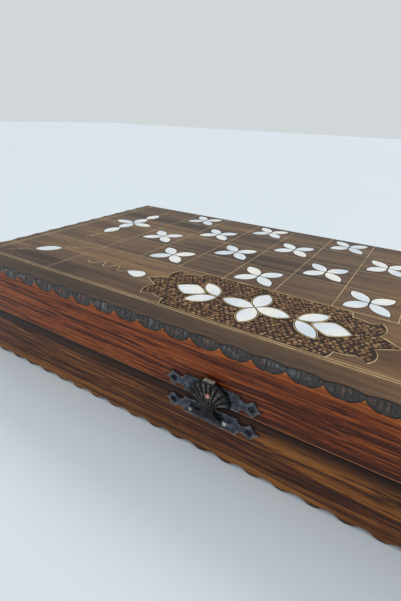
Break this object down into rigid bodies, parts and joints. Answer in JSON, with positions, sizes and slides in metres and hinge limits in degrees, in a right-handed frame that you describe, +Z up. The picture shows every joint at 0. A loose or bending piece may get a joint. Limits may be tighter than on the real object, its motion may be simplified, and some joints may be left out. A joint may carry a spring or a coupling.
{
  "type": "backgammon board",
  "caption": "Folding walnut backgammon board with pearl flower and brass wire inlay, carved beaded edges, back hinges and a fan-shaped front latch",
  "frame": {"origin": "middle of the underside of the closed board", "axes": "+X along the hinge to the viewer's right, +Y from the latch to the hinge side, +Z up"},
  "size_m": [0.5, 0.2586, 0.084],
  "materials": {
    "walnut_panel": "waxed",
    "walnut_rail": "waxed",
    "inner_walnut": "waxed",
    "light_veneer": "waxed",
    "dark_veneer": "waxed",
    "pearl": "polished",
    "brass_wire": "aged",
    "brass_trim": "aged",
    "hinge_brass": "aged",
    "dark_bronze": "dark patina with worn edges"
  },
  "bodies": {
    "base": {"base_outer_panel": "walnut_panel", "base_front_rail": "walnut_rail", "base_back_rail": "walnut_rail", "base_left_rail": "walnut_rail", "base_right_rail": "walnut_rail", "base_field_board": "inner_walnut", "base_light_points": "light_veneer", "base_dark_points": "dark_veneer", "base_field_petals": "pearl", "base_margin_petals": "pearl", "base_cartouche_petals": "pearl", "base_field_wires": "brass_wire", "base_border_wires": "brass_wire", "base_cartouche_wires": "brass_wire", "base_curl_wires": "brass_wire", "base_hinge_screws": "hinge_brass", "base_latch_nails": "brass_trim", "base_latch_plate": "dark_bronze", "left_hinge_base_leaf": "hinge_brass", "right_hinge_base_leaf": "hinge_brass", "left_hinge_pin": "hinge_brass", "right_hinge_pin": "hinge_brass", "hasp_pin": "dark_bronze"},
    "lid": {"lid_outer_panel": "walnut_panel", "lid_front_rail": "walnut_rail", "lid_back_rail": "walnut_rail", "lid_left_rail": "walnut_rail", "lid_right_rail": "walnut_rail", "lid_field_board": "inner_walnut", "lid_light_points": "light_veneer", "lid_dark_points": "dark_veneer", "lid_field_petals": "pearl", "lid_margin_petals": "pearl", "lid_cartouche_petals": "pearl", "lid_field_wires": "brass_wire", "lid_border_wires": "brass_wire", "lid_cartouche_wires": "brass_wire", "lid_curl_wires": "brass_wire", "lid_hinge_screws": "hinge_brass", "lid_latch_nails": "brass_trim", "lid_latch_plate": "dark_bronze", "left_hinge_lid_leaf": "hinge_brass", "right_hinge_lid_leaf": "hinge_brass", "latch_stud": "brass_trim"},
    "hasp": {"hasp": "dark_bronze"}
  },
  "joints": [
    {"name": "lid_hinge", "type": "hinge", "parent": "base", "child": "lid", "pos_m": [0, 0.1253, 0.042], "axis": [-1, 0, 0], "range_deg": [0, 180]},
    {"name": "hasp_hinge", "type": "hinge", "parent": "base", "child": "hasp", "pos_m": [0, -0.1281, 0.034], "axis": [1, 0, 0], "range_deg": [0, 170]}
  ]
}
